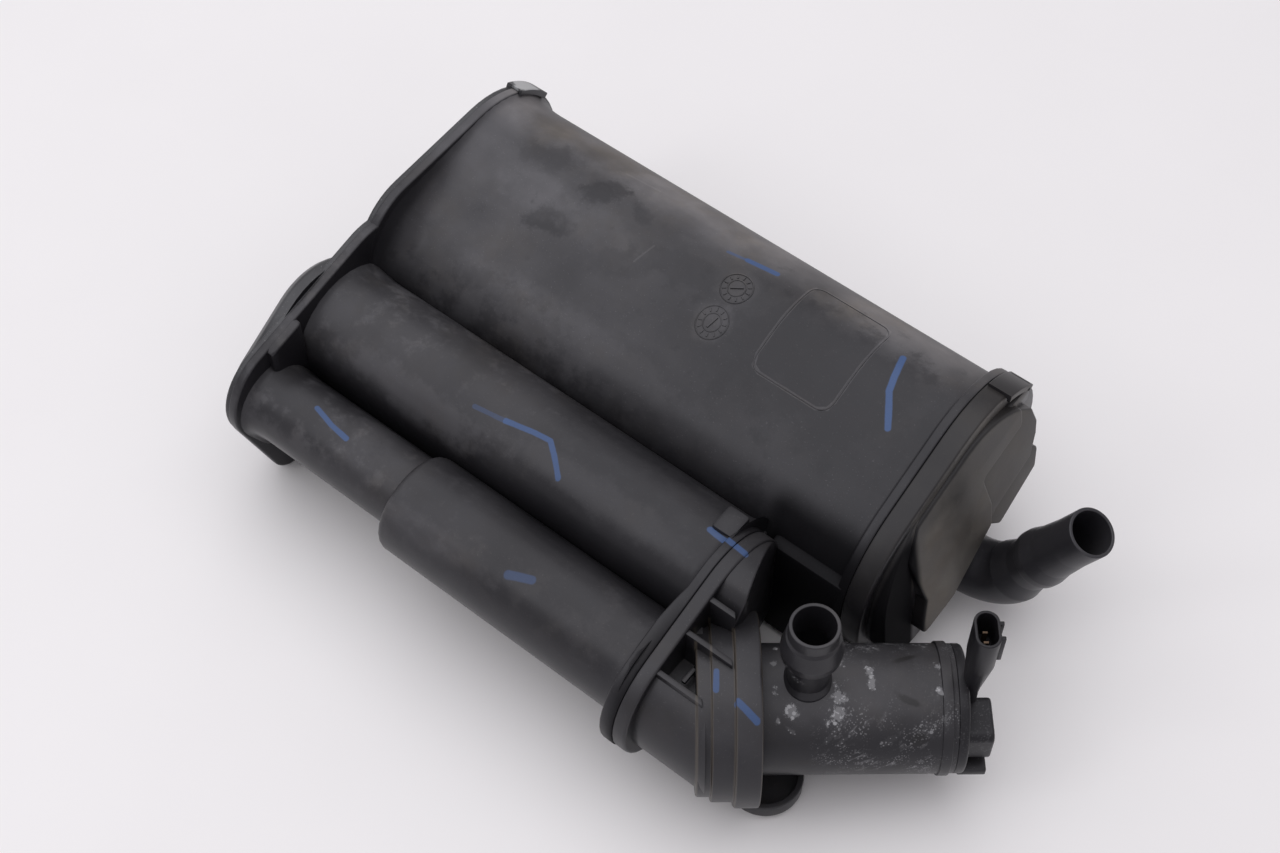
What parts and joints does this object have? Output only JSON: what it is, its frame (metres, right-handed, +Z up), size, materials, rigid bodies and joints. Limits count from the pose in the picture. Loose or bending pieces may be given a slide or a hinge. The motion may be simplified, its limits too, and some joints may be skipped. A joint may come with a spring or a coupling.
{
  "type": "fuel vapour charcoal canister",
  "caption": "Black moulded charcoal canister with joined chambers, end covers, a bent tank pipe and a slanted shut-off valve with a vent nipple and a plug socket.",
  "frame": {"origin": "under the middle of the whole part, on the plane the welded flanges stand on", "axes": "+X along the chambers from the rear cover to the front cover, +Y from the small chamber to the big one, +Z up"},
  "size_m": [0.3306, 0.2084, 0.1055],
  "materials": {
    "black_plastic": "satin moulded plastic with a dusty grey film",
    "bobbin_plastic": "plain",
    "carbon_granules": "loose granules, kept as one block",
    "filter_fleece": "felted",
    "spring_steel": "drawn wire",
    "soft_iron": "turned",
    "brass_rod": "turned",
    "copper": "bare metal",
    "seal_rubber": "matte"
  },
  "bodies": {
    "canister": {"housing": "black_plastic", "rear_cover": "black_plastic", "front_cover": "black_plastic", "tank_port_elbow": "black_plastic", "valve_adapter": "black_plastic", "valve_body": "black_plastic", "valve_end_cap": "black_plastic", "big_pressure_plate": "black_plastic", "mid_pressure_plate": "black_plastic", "small_pressure_plate": "black_plastic", "coil_bobbin": "bobbin_plastic", "big_carbon_bed": "carbon_granules", "mid_carbon_bed": "carbon_granules", "small_carbon_bed": "carbon_granules", "big_rear_fleece": "filter_fleece", "big_front_fleece": "filter_fleece", "mid_rear_fleece": "filter_fleece", "mid_front_fleece": "filter_fleece", "small_rear_fleece": "filter_fleece", "small_front_fleece": "filter_fleece", "big_spring": "spring_steel", "mid_spring": "spring_steel", "small_spring": "spring_steel", "return_spring": "spring_steel", "coil_yoke": "soft_iron", "fixed_pole": "soft_iron", "coil_winding": "copper", "connector_terminals": "copper", "collar_o_ring": "seal_rubber"},
    "plunger": {"armature": "soft_iron", "push_rod": "brass_rod", "seal_disc": "seal_rubber"}
  },
  "joints": [
    {"name": "plunger_travel", "type": "slide", "parent": "canister", "child": "plunger", "axis": [-0.7771, -0.6293, 0], "range_m": [0, 0.0024], "stiffness_N_per_m": 400, "springref_m": -0.004, "deforming": ["return_spring"]}
  ]
}
